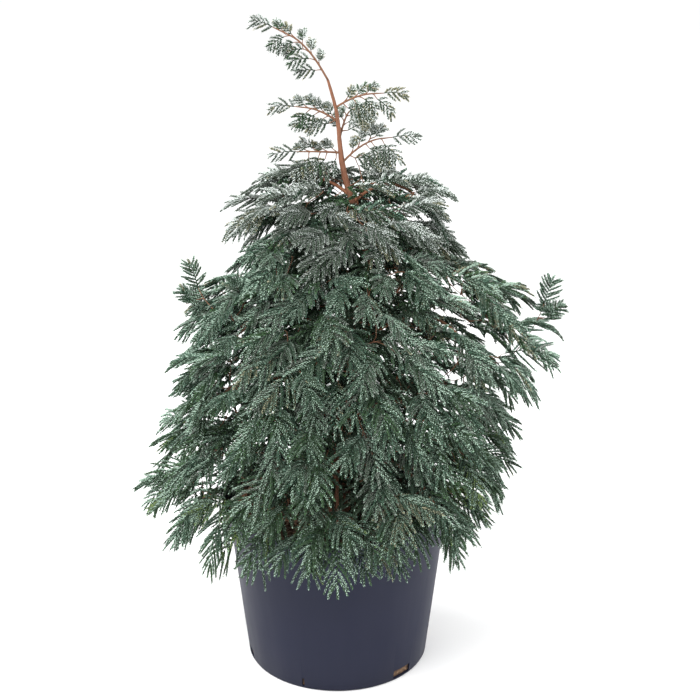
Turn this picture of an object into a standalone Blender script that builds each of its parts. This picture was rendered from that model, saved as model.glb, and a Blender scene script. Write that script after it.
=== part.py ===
"""A potted boulevard sawara cypress: a young, dense conifer in a round nursery pot.

Metres, +Z up. The origin is the centre of the pot's flat underside, and the crown's
front faces -Y. The plant is a trunk with tiers of boughs. Each bough carries one mass of
foliage: a stem whose twigs end in plumes, toothed blades that stand for sprays of soft
needles. The plumes' tips lie on the crown's outline.
"""

import math
import random
from collections import namedtuple

import bmesh
import bpy
import numpy as np
from mathutils import Quaternion, Vector
from mathutils.bvhtree import BVHTree

# Pot: a round ten-litre nursery container, with a lip band and holes at its foot
POT_HEIGHT = 0.215
POT_BASE_RADIUS = 0.1125
POT_FLARE = 0.115  # radius gained for each metre of height
POT_WALL = 0.0018
POT_FLOOR = 0.0025
POT_FOOT_CHAMFER = 0.0025
LIP_BAND = 0.030  # height of the band under the rim
LIP_STEP = 0.0040  # how far the band stands out
LIP_SLOPE = 0.004
LIP_BEAD = 0.0006
LIP_BEAD_HEIGHT = 0.006
POT_SIDES = 48
HOLE_COUNT = 6
HOLE_TURN = -15.0  # degrees from the front, towards +X
HOLE_WIDTH = 0.028
HOLE_FOOT = 0.0032
HOLE_HEIGHT = 0.0115
WEB_HOLE = 0  # the hole whose web is torn only at one side
WEB_SLIT = 0.003

GAP = 0.0003  # between pieces that touch

# Growing medium inside the pot
SOIL_TOP = 0.1925
SOIL_EDGE_DROP = 0.0025
SOIL_FLAT = 0.040

# Trunk: height, sideways lean, depth and radius, from the flat cut to the leader
Station = namedtuple("Station", "height side depth radius")
TRUNK = (
    Station(SOIL_TOP + GAP, 0.000, 0.000, 0.0165),
    Station(0.201, 0.000, 0.000, 0.0122),
    Station(0.230, 0.000, 0.000, 0.0102),
    Station(0.350, 0.012, 0.004, 0.0086),
    Station(0.470, 0.027, 0.002, 0.0066),
    Station(0.549, 0.035, -0.002, 0.0050),
    Station(0.593, 0.018, -0.002, 0.0040),
    Station(0.635, 0.007, 0.000, 0.0030),
    Station(0.692, 0.001, 0.002, 0.0021),
    Station(0.732, -0.009, 0.001, 0.0015),
)
TRUNK_STEPS = 2  # rings between two stations

# The crown's outline, from its top down to the tips that hang over the pot. Each Rung gives
# the height and the reach from the pot's axis to the right, back, left and front.
Round = namedtuple("Round", "right back left front")
Rung = namedtuple("Rung", "height reach")
CROWN = (
    Rung(Round(0.645, 0.630, 0.645, 0.600), Round(0.050, 0.045, 0.045, 0.045)),
    Rung(Round(0.612, 0.595, 0.622, 0.565), Round(0.155, 0.118, 0.120, 0.105)),
    Rung(Round(0.562, 0.548, 0.560, 0.515), Round(0.138, 0.130, 0.146, 0.150)),
    Rung(Round(0.525, 0.515, 0.512, 0.475), Round(0.160, 0.140, 0.085, 0.170)),
    Rung(Round(0.492, 0.485, 0.480, 0.440), Round(0.235, 0.180, 0.170, 0.195)),
    Rung(Round(0.425, 0.425, 0.430, 0.390), Round(0.278, 0.215, 0.206, 0.215)),
    Rung(Round(0.360, 0.360, 0.360, 0.340), Round(0.228, 0.226, 0.208, 0.226)),
    Rung(Round(0.295, 0.295, 0.290, 0.290), Round(0.230, 0.232, 0.234, 0.236)),
    Rung(Round(0.245, 0.245, 0.232, 0.238), Round(0.226, 0.236, 0.258, 0.236)),
    Rung(Round(0.214, 0.215, 0.180, 0.204), Round(0.188, 0.192, 0.212, 0.198)),
    Rung(Round(0.192, 0.195, 0.135, 0.180), Round(0.160, 0.162, 0.180, 0.166)),
)

# Boughs, tier by tier. The rung says where on the outline a tier's boughs point, and the
# climb how far below its tip a bough leaves the trunk.
Tier = namedtuple("Tier", "name count turn rung climb arch bough_radius")
TIERS = (
    Tier(name="skirt", count=8, turn=0.0, rung=7.7, climb=0.03, arch=0.075, bough_radius=0.0036),
    Tier(name="middle", count=7, turn=0.0, rung=5.6, climb=0.09, arch=0.045, bough_radius=0.0036),
    Tier(name="upper", count=6, turn=30.0, rung=4.2, climb=0.07, arch=0.040, bough_radius=0.0030),
    Tier(name="shoulder", count=4, turn=-6.0, rung=1.2, climb=0.012, arch=0.025, bough_radius=0.0022),
)
LOWEST_START = 0.224
AZIMUTH_JITTER = 5.0
BOUGH_PART = 0.42  # of a limb's path, before its mass begins
BOUGH_POINTS = 4
BOUGH_TAPER = 0.62
ARCH_AT = 0.55  # where along its reach a limb is lifted most

# Sprays near the top, with no bough of their own: each stem starts at the trunk
Spray = namedtuple("Spray", "name start azimuth reach rise twigs twig plume")
SPRAYS = (
    Spray("top_right_high", 0.700, -8.0, 0.046, 0.018, 4, 0.010, 0.026),
    Spray("top_left_high", 0.684, 176.0, 0.040, 0.016, 4, 0.010, 0.028),
    Spray("top_back", 0.664, 72.0, 0.038, 0.024, 4, 0.010, 0.028),
    Spray("top_left_low", 0.648, 184.0, 0.042, 0.002, 4, 0.012, 0.030),
    Spray("top_right_low", 0.636, -4.0, 0.048, 0.030, 5, 0.012, 0.030),
)
LEADER = (
    Station(0.732, -0.009, 0.001, 0.0014),
    Station(0.757, -0.024, 0.000, 0.0012),
    Station(0.777, -0.042, 0.000, 0.0010),
    Station(0.788, -0.062, 0.000, 0.0008),
)
LEADER_SPRAY = Spray("leader", 0.732, 180.0, 0.0, 0.0, 6, 0.008, 0.026)
UPPER_SIDE = 0.62  # size of a spray's plumes on its upper side, against the lower
SPRAY_FACE = Vector((0.0, -0.8, 0.6))

# Young shoots that stand up out of the crown: where each one's tip is
SHOOT_TIPS = (
    Vector((-0.172, -0.010, 0.525)),
    Vector((-0.118, -0.030, 0.512)),
    Vector((0.256, 0.004, 0.500)),
)
SHOOT_LENGTH = 0.052
SHOOT_WIDTH = 0.5

# Plumes
OUTER_PLUMES = 250
INNER_PLUMES = 75
INNER_DEPTH = 0.68  # of the reach
OUTER_RUNGS = (0.15, 10.0)
INNER_RUNGS = (0.9, 9.0)
GOLDEN_ANGLE = 137.508
PLUME_LENGTH = 0.080
TOP_SHRINK = 0.74  # a plume's size at the top rung, against one in the skirt
PLUME_WIDTH = 0.88  # of its length
PLUME_THICKNESS = 0.055
PLUME_DROOP = 0.16
PLUME_SAG = 0.85
DEPTH_JITTER = 0.010
PALM_AT = 0.36  # the plume's thickest point, along its length
TEETH = (  # along and out, one side
    (0.27, 0.44),
    (0.34, 0.17),
    (0.57, 0.50),
    (0.57, 0.17),
    (0.86, 0.33),
    (0.78, 0.10),
)
SIZE_TRIES = (1.0, 0.84, 0.70)
TURN_TRIES = (0.0, 22.0, -22.0)

# Stems and twigs
STEM_POINTS = 5
STEM_RADIUS = 0.0021
STEM_TAPER = 0.6
TWIG_RADIUS = 0.0008
FORKED_SHARE = 0.45  # of a twig's radius, for the end of one that grows from it
TWIG_FORKS = (0.4, 0.75)
STEM_FORKS = 12
FORK_TRIES = 4
LONGEST_TWIG = 0.110
SHORTEST_TWIG = 0.006
SHARPEST_FORK = 0.25  # cosine of the widest angle between a twig and what it grows from

# Room that twigs and plumes keep
LIMB_MARGIN = 0.0035
TWIG_MARGIN = 0.0015
POT_MARGIN = 0.003
SAMPLE_STEPS = 5
SWELL = 1.5  # times a plume's thickness, when its room is tested

UP = Vector((0.0, 0.0, 1.0))
SEED = 41

# Colours as linear RGB, and roughness
COLOURS = {
    "pot": ((0.040, 0.041, 0.062), 0.55),
    "soil": ((0.070, 0.045, 0.028), 0.95),
    "trunk": ((0.170, 0.070, 0.038), 0.85),
    "bough": ((0.240, 0.095, 0.045), 0.85),
    "skirt": ((0.090, 0.165, 0.130), 0.80),
    "middle": ((0.100, 0.165, 0.145), 0.80),
    "upper": ((0.115, 0.165, 0.155), 0.80),
    "shoulder": ((0.130, 0.165, 0.160), 0.80),
    "top": ((0.145, 0.175, 0.160), 0.80),
}


def clear_scene():
    for obj in list(bpy.data.objects):
        bpy.data.objects.remove(obj, do_unlink=True)


def new_collection(name):
    collection = bpy.data.collections.new(name)
    bpy.context.scene.collection.children.link(collection)
    return collection


def finish_material(obj, kind):
    """Gives the object its own Principled material in the colour of its kind."""
    colour, roughness = COLOURS[kind]
    material = bpy.data.materials.new(obj.name)
    material.use_nodes = True
    shader = material.node_tree.nodes["Principled BSDF"]
    shader.inputs["Base Color"].default_value = (*colour, 1.0)
    shader.inputs["Roughness"].default_value = roughness
    shader.inputs["Metallic"].default_value = 0.0
    obj.data.materials.clear()
    obj.data.materials.append(material)


def heading(degrees):
    """The level unit vector at an azimuth: 0 is +X, 90 is +Y."""
    angle = math.radians(degrees)
    return Vector((math.cos(angle), math.sin(angle), 0.0))


def outward_of(point):
    return Vector((point.x, point.y, 0.0)).normalized()


def turned(name, profile, collection):
    """A solid of revolution about Z from (radius, height) points."""
    mesh = bpy.data.meshes.new(name)
    points = [(radius, 0.0, height) for radius, height in profile]
    edges = [(i, i + 1) for i in range(len(points) - 1)]
    mesh.from_pydata(points, edges, [])
    obj = bpy.data.objects.new(name, mesh)
    collection.objects.link(obj)
    screw = obj.modifiers.new("Turn", "SCREW")
    screw.steps = POT_SIDES
    screw.render_steps = POT_SIDES
    screw.use_merge_vertices = True
    screw.merge_threshold = 0.0001
    return obj


def tube(name, points, radii, collection, resolution):
    """A tapering limb: a bevelled curve with filled caps."""
    curve = bpy.data.curves.new(name, "CURVE")
    curve.dimensions = "3D"
    curve.bevel_depth = 1.0
    curve.bevel_resolution = resolution
    curve.use_fill_caps = True
    spline = curve.splines.new("POLY")
    spline.points.add(len(points) - 1)
    for knot, point, radius in zip(spline.points, points, radii):
        knot.co = (*point, 1.0)
        knot.radius = radius
    obj = bpy.data.objects.new(name, curve)
    collection.objects.link(obj)
    return obj


def as_mesh(obj, collection):
    """The curve object as a closed mesh object of the same name."""
    depsgraph = bpy.context.evaluated_depsgraph_get()
    mesh = bpy.data.meshes.new_from_object(obj.evaluated_get(depsgraph))
    form = bmesh.new()
    form.from_mesh(mesh)
    bmesh.ops.remove_doubles(form, verts=form.verts, dist=0.00001)
    form.to_mesh(mesh)
    form.free()
    name, place = obj.name, obj.matrix_world.copy()
    bpy.data.objects.remove(obj, do_unlink=True)
    solid = bpy.data.objects.new(name, mesh)
    solid.matrix_world = place
    collection.objects.link(solid)
    return solid


def solid_from(name, points, faces, collection):
    """A closed mesh object with its faces pointing out."""
    mesh = bpy.data.meshes.new(name)
    mesh.from_pydata(points, [], faces)
    form = bmesh.new()
    form.from_mesh(mesh)
    bmesh.ops.recalc_face_normals(form, faces=form.faces)
    form.to_mesh(mesh)
    form.free()
    obj = bpy.data.objects.new(name, mesh)
    collection.objects.link(obj)
    return obj


# Pot and soil


def pot_radius(height):
    return POT_BASE_RADIUS + POT_FLARE * height


def pot_inside(height):
    return pot_radius(height) - POT_WALL


def make_pot(collection, cutters):
    foot, step = POT_HEIGHT - LIP_BAND, LIP_STEP
    bead_foot = POT_HEIGHT - LIP_BEAD_HEIGHT
    rim = pot_radius(POT_HEIGHT) + step
    corner = POT_FLOOR + POT_WALL
    profile = (
        (0.0, POT_FLOOR),
        (pot_inside(POT_FLOOR) - POT_WALL, POT_FLOOR),
        (pot_inside(corner), corner),
        (pot_inside(foot), foot),
        (pot_inside(foot + LIP_SLOPE) + step, foot + LIP_SLOPE),
        (rim - POT_WALL, POT_HEIGHT),
        (rim + LIP_BEAD, POT_HEIGHT),
        (pot_radius(bead_foot) + step + LIP_BEAD, bead_foot),
        (pot_radius(foot) + step, foot),
        (pot_radius(foot - LIP_SLOPE), foot - LIP_SLOPE),
        (pot_radius(POT_FOOT_CHAMFER), POT_FOOT_CHAMFER),
        (pot_radius(0.0) - POT_FOOT_CHAMFER, 0.0),
        (0.0, 0.0),
    )
    pot = turned("pot", profile, collection)
    for number in range(HOLE_COUNT):
        cut_hole(pot, number, cutters)
    finish_material(pot, "pot")


def cut_hole(pot, number, cutters):
    """A drainage hole through the wall at the foot. One keeps its web but for a slit."""
    turn = HOLE_TURN + 360.0 / HOLE_COUNT * number
    outward, along = heading(turn - 90.0), heading(turn)
    width, shift = HOLE_WIDTH, 0.0
    if number == WEB_HOLE:
        width, shift = WEB_SLIT, (WEB_SLIT - HOLE_WIDTH) / 2
    mesh = bpy.data.meshes.new("hole_cutter")
    form = bmesh.new()
    bmesh.ops.create_cube(form, size=1.0)
    bmesh.ops.scale(form, vec=(width, 8 * POT_WALL, HOLE_HEIGHT), verts=form.verts)
    form.to_mesh(mesh)
    form.free()
    cutter = bpy.data.objects.new(f"hole_cutter_{number}", mesh)
    cutter.location = outward * POT_BASE_RADIUS + along * shift + UP * (HOLE_FOOT + HOLE_HEIGHT / 2)
    cutter.rotation_euler.z = math.radians(turn)
    cutter.hide_render = True
    cutter.display_type = "WIRE"
    cutters.objects.link(cutter)
    cut = pot.modifiers.new(f"Hole {number}", "BOOLEAN")
    cut.operation = "DIFFERENCE"
    cut.object = cutter


def make_soil(collection):
    edge = SOIL_TOP - SOIL_EDGE_DROP
    corner = POT_FLOOR + POT_WALL
    neck = pot_inside(POT_HEIGHT - LIP_BAND) - GAP
    profile = (
        (0.0, SOIL_TOP),
        (SOIL_FLAT, SOIL_TOP),
        (neck, edge),
        (neck, POT_HEIGHT - LIP_BAND),
        (pot_inside(corner) - GAP, corner),
        (pot_inside(POT_FLOOR) - POT_WALL - GAP, POT_FLOOR + GAP),
        (0.0, POT_FLOOR + GAP),
    )
    finish_material(turned("soil", profile, collection), "soil")


# Trunk and limbs


def catmull_rom(near, part):
    """Each of a Station's four sizes between near[1] and near[2]."""
    mixed = []
    for a, b, c, d in zip(*near):
        bend = 2 * a - 5 * b + 4 * c - d
        twist = 3 * b - a - 3 * c + d
        mixed.append(b + 0.5 * part * (c - a + part * (bend + part * twist)))
    return Station(*mixed)


def smooth_line(stations, steps):
    """Points and radii on a smooth curve through the stations."""
    last = len(stations) - 1
    line = []
    for i in range(last):
        near = [stations[min(max(i + k, 0), last)] for k in (-1, 0, 1, 2)]
        line += [catmull_rom(near, step / steps) for step in range(steps)]
    line.append(stations[-1])
    return [Vector((s.side, s.depth, s.height)) for s in line], [s.radius for s in line]


def trunk_at(trunk, height):
    """The trunk's axis and radius at a height."""
    points, radii = trunk
    for i in range(1, len(points)):
        low, high = points[i - 1], points[i]
        if high.z >= height:
            part = (height - low.z) / (high.z - low.z)
            return low.lerp(high, part), radii[i - 1] + (radii[i] - radii[i - 1]) * part
    return points[-1], radii[-1]


def leave_trunk(trunk, height, direction, radius):
    """Where a limb of this radius starts, its end face clear of the trunk by the gap."""
    axis, trunk_radius = trunk_at(trunk, height)
    lean = max(direction.normalized().z, 0.0)
    return axis + outward_of(direction) * (trunk_radius + GAP + radius * lean)


def bezier(start, arch, tip, part):
    rest = 1.0 - part
    return start * rest * rest + arch * 2.0 * part * rest + tip * part * part


def around(sizes, degrees):
    """A Round's size at an azimuth, blended between its four sides."""
    side = heading(degrees)
    right, left = max(side.x, 0.0) ** 2, max(-side.x, 0.0) ** 2
    back, front = max(side.y, 0.0) ** 2, max(-side.y, 0.0) ** 2
    return right * sizes.right + back * sizes.back + left * sizes.left + front * sizes.front


def on_outline(rung, degrees):
    """The point of the crown's outline at a rung, which may lie between two, and an azimuth."""
    low = min(int(rung), len(CROWN) - 2)
    part = rung - low
    above, below = CROWN[low], CROWN[low + 1]
    height = around(above.height, degrees) * (1 - part) + around(below.height, degrees) * part
    reach = around(above.reach, degrees) * (1 - part) + around(below.reach, degrees) * part
    return heading(degrees) * reach + UP * height


class Limb:
    """The stem of a mass, and the bough that carries it, if it has one."""

    def __init__(self, name, kind, stem, bough=None, bough_radii=None):
        self.name = name
        self.kind = kind
        self.stem = stem
        self.bough = bough
        self.bough_radii = bough_radii
        last = len(stem) - 1
        self.stem_radii = [STEM_RADIUS * (1 - (1 - STEM_TAPER) * i / last) for i in range(last + 1)]

    def stem_at(self, part):
        """Point and direction on the stem."""
        place = part * (len(self.stem) - 1)
        low = min(int(place), len(self.stem) - 2)
        point = self.stem[low].lerp(self.stem[low + 1], place - low)
        return point, (self.stem[low + 1] - self.stem[low]).normalized()


def bough_limbs(trunk):
    """One limb for each bough of each tier."""
    chance = random.Random(SEED)
    limbs = []
    for tier in TIERS:
        for number in range(tier.count):
            azimuth = tier.turn + 360.0 / tier.count * number
            azimuth += chance.uniform(-AZIMUTH_JITTER, AZIMUTH_JITTER)
            limbs.append(bough_limb(tier, number, azimuth, trunk))
    return limbs


def bough_limb(tier, number, azimuth, trunk):
    tip = on_outline(tier.rung, azimuth)
    tip -= heading(azimuth) * PLUME_LENGTH * 0.8
    height = max(tip.z - tier.climb, LOWEST_START)
    axis, _ = trunk_at(trunk, height)
    arch = axis.lerp(tip, ARCH_AT)
    arch.z = max(axis.z, tip.z) + tier.arch
    start = leave_trunk(trunk, height, arch - axis, tier.bough_radius)
    last = BOUGH_POINTS - 1
    bough = [bezier(start, arch, tip, BOUGH_PART * i / last) for i in range(BOUGH_POINTS)]
    taper = (1 - BOUGH_TAPER) / last
    radii = [tier.bough_radius * (1 - taper * i) for i in range(BOUGH_POINTS)]
    last = STEM_POINTS - 1
    parts = [BOUGH_PART + (1 - BOUGH_PART) * i / last for i in range(STEM_POINTS)]
    stem = [bezier(start, arch, tip, part) for part in parts]
    bend = (bough[-1] - bough[-2]).angle(stem[1] - stem[0])
    clear = (bough[-1] - bough[-2]).normalized() * (GAP + STEM_RADIUS * math.sin(bend))
    stem = [point + clear for point in stem]
    return Limb(f"{tier.name}_{number + 1}", tier.name, stem, bough, radii)


def spray_limbs(trunk):
    """The sprays that leave the trunk near its top, and the leader that carries it on."""
    limbs = []
    for spray in SPRAYS:
        rough = heading(spray.azimuth) * spray.reach + UP * spray.rise
        start = leave_trunk(trunk, spray.start, rough, STEM_RADIUS)
        tip = start + rough
        arch = start.lerp(tip, 0.5) + UP * spray.rise * 0.45
        last = STEM_POINTS - 2
        stem = [bezier(start, arch, tip, i / last) for i in range(last + 1)]
        limbs.append(Limb(spray.name, "top", stem))
    points, _ = smooth_line(LEADER, 2)
    along = (trunk[0][-1] - trunk[0][-2]).normalized()
    limbs.append(Limb(LEADER_SPRAY.name, "top", [point + along * GAP for point in points]))
    return limbs


# Plumes


class Plume:
    """A spray of needles: a three-sided twig from its fork, and a toothed blade on it."""

    def __init__(self, tip, direction, face, length, width=PLUME_WIDTH):
        self.direction = direction.normalized()
        self.across = face.cross(self.direction).normalized()
        self.face = self.direction.cross(self.across).normalized()
        self.length = length
        self.width = width
        self.tip = tip
        self.neck = tip - self.direction * length
        self.fork = None
        self.fork_radius = TWIG_RADIUS

    def start_at(self, fork):
        """The twig starts at this fork, with an end that stays inside what it grows from."""
        self.fork = Vector(fork.point)
        self.fork_radius = fork.radius

    def twig_ring(self, centre, radius):
        """The twig's three corners, at the blade's neck or at the fork."""
        low = centre - self.face * radius * 0.5
        side = self.across * radius * 0.87
        return [low + side, low - side, centre + self.face * radius]

    def blade(self, thickness):
        """Points and faces of the blade, open where the twig joins it."""
        half = self.length * self.width / 2
        marks = [(along, out * 2) for along, out in TEETH]
        marks += [(1.0, 0.0)]
        marks += [(along, -out * 2) for along, out in reversed(TEETH)]
        points = self.twig_ring(self.neck, TWIG_RADIUS)
        for along, out in marks:
            spread = math.hypot(along - PALM_AT, out * self.width / 2)
            sink = PLUME_DROOP * (spread / (1 - PALM_AT)) ** 2 * self.length
            place = self.neck + self.direction * along * self.length
            points.append(place + self.across * out * half - self.face * sink)
        palm = self.neck + self.direction * PALM_AT * self.length
        thick = PLUME_THICKNESS * self.length * thickness
        points += [palm + self.face * thick * 0.6, palm - self.face * thick * 0.4]
        top, under = len(points) - 2, len(points) - 1
        edge = [0, *range(3, top), 1]
        faces = [(a, b, top) for a, b in zip(edge, edge[1:])]
        faces += [(b, a, under) for a, b in zip(edge, edge[1:])]
        faces += [(1, 2, top), (2, 0, top), (0, 1, under)]
        return points, faces

    def solid(self):
        """Points and faces of twig and blade as one closed shape."""
        points, faces = self.blade(1.0)
        last = len(points)
        points += self.twig_ring(self.fork, self.fork_radius)
        for a, b in ((0, 1), (1, 2), (2, 0)):
            faces.append((a, b, last + b, last + a))
        faces.append((last, last + 1, last + 2))
        return points, faces

    def blade_tree(self, thickness=1.0):
        return BVHTree.FromPolygons(*self.blade(thickness))

    def twig_tree(self):
        points = self.twig_ring(self.neck, TWIG_RADIUS) + self.twig_ring(self.fork, TWIG_RADIUS)
        return BVHTree.FromPolygons(points, [(0, 1, 4, 3), (1, 2, 5, 4), (2, 0, 3, 5)])


# A place where one twig can start, on the owner's stem or on the twig of a parent plume
Fork = namedtuple("Fork", "point way radius owner parent")


def distances(samples, starts, ends):
    """The distance from each sample to each segment."""
    along = ends - starts
    length = np.maximum((along * along).sum(axis=1), 1e-12)
    offset = samples[:, None, :] - starts[None, :, :]
    part = np.clip((offset * along[None]).sum(axis=2) / length, 0.0, 1.0)
    near = starts[None] + part[..., None] * along[None]
    return np.linalg.norm(samples[:, None, :] - near, axis=2)


def face_samples(points, faces):
    """Points spread evenly over the faces."""
    corners = np.array([tuple(point) for point in points])[np.array(faces)]
    steps = range(SAMPLE_STEPS + 1)
    weights = [(i, j, SAMPLE_STEPS - i - j) for i in steps for j in steps if i + j <= SAMPLE_STEPS]
    weights = np.array(weights) / SAMPLE_STEPS
    return np.einsum("wk,fkc->fwc", weights, corners).reshape(-1, 3)


class Crown:
    """Grows the plumes of every mass, and keeps them clear of the limbs and of each other."""

    def __init__(self, limbs, trunk):
        self.limbs = limbs
        self.plumes = [[] for _ in limbs]
        self.trees = []
        self.middles = np.zeros((0, 3))
        starts, ends, radii, owners = [], [], [], []
        woods = [(-1, *trunk)]
        woods += [(-1, limb.bough, limb.bough_radii) for limb in limbs if limb.bough]
        woods += [(number, limb.stem, limb.stem_radii) for number, limb in enumerate(limbs)]
        for owner, points, thickness in woods:
            starts += [tuple(point) for point in points[:-1]]
            ends += [tuple(point) for point in points[1:]]
            radii += thickness[:-1]
            owners += [owner] * (len(points) - 1)
        self.starts, self.ends = np.array(starts), np.array(ends)
        self.radii, self.owners = np.array(radii), np.array(owners)
        self.forks = []
        for number, limb in enumerate(limbs):
            for i in range(STEM_FORKS):
                point, way = limb.stem_at((i + 0.6) / STEM_FORKS)
                self.forks.append(Fork(tuple(point), tuple(way), TWIG_RADIUS, number, None))

    def forks_for(self, neck, owner):
        """The nearest places where a twig to this neck can start, best first."""
        offset = np.array(tuple(neck)) - np.array([fork.point for fork in self.forks])
        length = np.linalg.norm(offset, axis=1)
        ways = np.array([fork.way for fork in self.forks])
        cosine = (offset * ways).sum(axis=1) / np.maximum(length, 1e-9)
        fit = (cosine > SHARPEST_FORK) & (length < LONGEST_TWIG) & (length > SHORTEST_TWIG)
        if owner is not None:
            fit &= np.array([fork.owner == owner for fork in self.forks])
        score = np.where(fit, length * (1.25 - 0.25 * cosine), np.inf)
        order = np.argsort(score, kind="stable")[:FORK_TRIES]
        return [self.forks[i] for i in order if np.isfinite(score[i])]

    def clear_of_wood(self, samples, margin, owner=None):
        keep = self.owners != owner if owner is not None else np.ones(len(self.owners), bool)
        gaps = distances(samples, self.starts[keep], self.ends[keep]) - self.radii[keep]
        return gaps.min() > margin

    def clear_of_pot(self, samples):
        across = np.hypot(samples[:, 0], samples[:, 1])
        heights = samples[:, 2]
        widest = POT_BASE_RADIUS + POT_FLARE * heights + LIP_STEP + LIP_BEAD + POT_MARGIN
        return not ((heights < POT_HEIGHT + POT_MARGIN) & (across < widest)).any()

    def blade_fits(self, plume):
        samples = face_samples(*plume.blade(SWELL))
        if not self.clear_of_wood(samples, LIMB_MARGIN) or not self.clear_of_pot(samples):
            return False
        tree = plume.blade_tree(SWELL)
        for i in self.near(plume):
            blade, twig = self.trees[i]
            if tree.overlap(blade) or tree.overlap(twig):
                return False
        return True

    def twig_fits(self, plume, owner, parent):
        length = (plume.neck - plume.fork).length
        steps = max(int(length / 0.003), 2)
        samples = [tuple(plume.fork.lerp(plume.neck, i / steps)) for i in range(1, steps + 1)]
        samples = np.array(samples)
        if not self.clear_of_wood(samples, TWIG_MARGIN + TWIG_RADIUS, owner):
            return False
        if not self.clear_of_pot(samples):
            return False
        tree = plume.twig_tree()
        for i in self.near(plume, length):
            blade, twig = self.trees[i]
            if tree.overlap(blade) or (i != parent and tree.overlap(twig)):
                return False
        return True

    def near(self, plume, more=0.0):
        """The plumes already grown that come near this one."""
        middle = np.array(tuple(plume.neck.lerp(plume.tip, 0.5)))
        if not len(self.middles):
            return []
        gap = np.linalg.norm(self.middles[:, :3] - middle, axis=1)
        reach = PLUME_LENGTH * 1.3 + LONGEST_TWIG + more
        return np.nonzero(gap < reach)[0]

    def grow(self, tip, direction, face, length, width=PLUME_WIDTH, owner=None):
        """Tries a plume at this tip, smaller or turned each time, and keeps the first that fits."""
        for size in SIZE_TRIES:
            for turn in TURN_TRIES:
                way = Quaternion(UP, math.radians(turn)) @ direction
                plume = Plume(tip, way, face, length * size, width)
                forks = self.forks_for(plume.neck, owner)
                if not forks or not self.blade_fits(plume):
                    continue
                for fork in forks:
                    plume.start_at(fork)
                    if self.twig_fits(plume, fork.owner, fork.parent):
                        self.forks.remove(fork)
                        self.keep(plume, fork.owner)
                        return True
        return False

    def keep(self, plume, owner):
        self.plumes[owner].append(plume)
        self.trees.append((plume.blade_tree(), plume.twig_tree()))
        middle = np.array([tuple(plume.neck.lerp(plume.tip, 0.5))])
        self.middles = np.vstack([self.middles, middle])
        way = (plume.neck - plume.fork).normalized()
        for part in TWIG_FORKS:
            radius = plume.fork_radius + (TWIG_RADIUS - plume.fork_radius) * part
            point = plume.fork.lerp(plume.neck, part)
            parent = len(self.trees) - 1
            self.forks.append(Fork(tuple(point), tuple(way), radius * FORKED_SHARE, owner, parent))


def plume_size(rung):
    """A plume's size at a rung, against one at the foot of the crown."""
    return TOP_SHRINK + (1 - TOP_SHRINK) * rung / (len(CROWN) - 1)


def outline_spots(count, rungs, chance):
    """Rungs and azimuths in a spiral of golden angles, as dense as the plumes' size asks."""
    first, last = rungs
    steps = 200
    marks = [first + (last - first) * i / steps for i in range(steps + 1)]
    areas = [0.0]
    for above, below in zip(marks, marks[1:]):
        area = 0.0
        for azimuth in (0.0, 90.0, 180.0, 270.0):
            high, low = on_outline(above, azimuth), on_outline(below, azimuth)
            area += (high - low).length * (high.xy.length + low.xy.length)
        areas.append(areas[-1] + area / plume_size(above) ** 2)
    spots = []
    for i in range(count):
        rung = np.interp((i + chance.random()) / count * areas[-1], areas, marks)
        spots.append((float(rung), i * GOLDEN_ANGLE + chance.uniform(-6.0, 6.0)))
    return spots


def outline_normal(rung, azimuth):
    """The way out of the crown at a place on its outline."""
    step = 0.2
    above = on_outline(max(rung - step, 0.0), azimuth)
    below = on_outline(min(rung + step, len(CROWN) - 1.0), azimuth)
    along = heading(azimuth + 90.0)
    return along.cross(above - below).normalized()


def grow_outline(crown, count, rungs, depth, chance):
    """Plumes whose tips lie on the outline, or at a share of its reach."""
    spots = outline_spots(count, rungs, chance)
    chance.shuffle(spots)
    for rung, azimuth in spots:
        outward = heading(azimuth)
        tip = on_outline(rung, azimuth)
        tip -= outward * (tip.xy.length * (1 - depth) + chance.uniform(0.0, DEPTH_JITTER))
        sag = PLUME_SAG * chance.uniform(0.7, 1.25)
        direction = outward * 0.75 + outline_normal(rung, azimuth) * 0.6 - UP * sag
        face = UP + outward * 0.75 + heading(azimuth + 90) * chance.uniform(-0.4, 0.4)
        length = PLUME_LENGTH * plume_size(rung) * chance.uniform(0.9, 1.1)
        crown.grow(tip, direction, face, length)


def grow_tips(crown):
    """The plume that ends each bough's mass."""
    for number, limb in enumerate(crown.limbs):
        if limb.bough:
            point, way = limb.stem_at(1.0)
            direction = (way - UP * 0.3).normalized()
            tip = point + way * SHORTEST_TWIG * 1.2 + direction * PLUME_LENGTH * 0.85
            face = UP + outward_of(point) * 0.75
            crown.grow(tip, direction, face, PLUME_LENGTH * 0.85, owner=number)


def grow_shoots(crown):
    for tip in SHOOT_TIPS:
        crown.grow(tip, UP + outward_of(tip) * 0.25, SPRAY_FACE, SHOOT_LENGTH, SHOOT_WIDTH)


def grow_sprays(crown, chance):
    """Small plumes by turns on either side of the stems near the top, and one at each end."""
    for number, limb in enumerate(crown.limbs):
        if limb.bough:
            continue
        spray = next(s for s in (*SPRAYS, LEADER_SPRAY) if s.name == limb.name)
        point, way = limb.stem_at(1.0)
        tip = point + way * (SHORTEST_TWIG * 1.2 + spray.plume)
        crown.grow(tip, way, SPRAY_FACE, spray.plume, owner=number)
        side = 1
        for i in range(spray.twigs):
            point, way = limb.stem_at((i + 0.7) / (spray.twigs + 0.4))
            across = SPRAY_FACE.cross(way).normalized() * side
            size = UPPER_SIDE if across.z > 0.0 else 1.0
            direction = way + across * chance.uniform(0.9, 1.3)
            reach = (spray.twig * chance.uniform(0.8, 1.2) + spray.plume) * size
            tip = point + direction.normalized() * reach
            crown.grow(tip, direction, SPRAY_FACE, spray.plume * size, owner=number)
            side = -side


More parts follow.
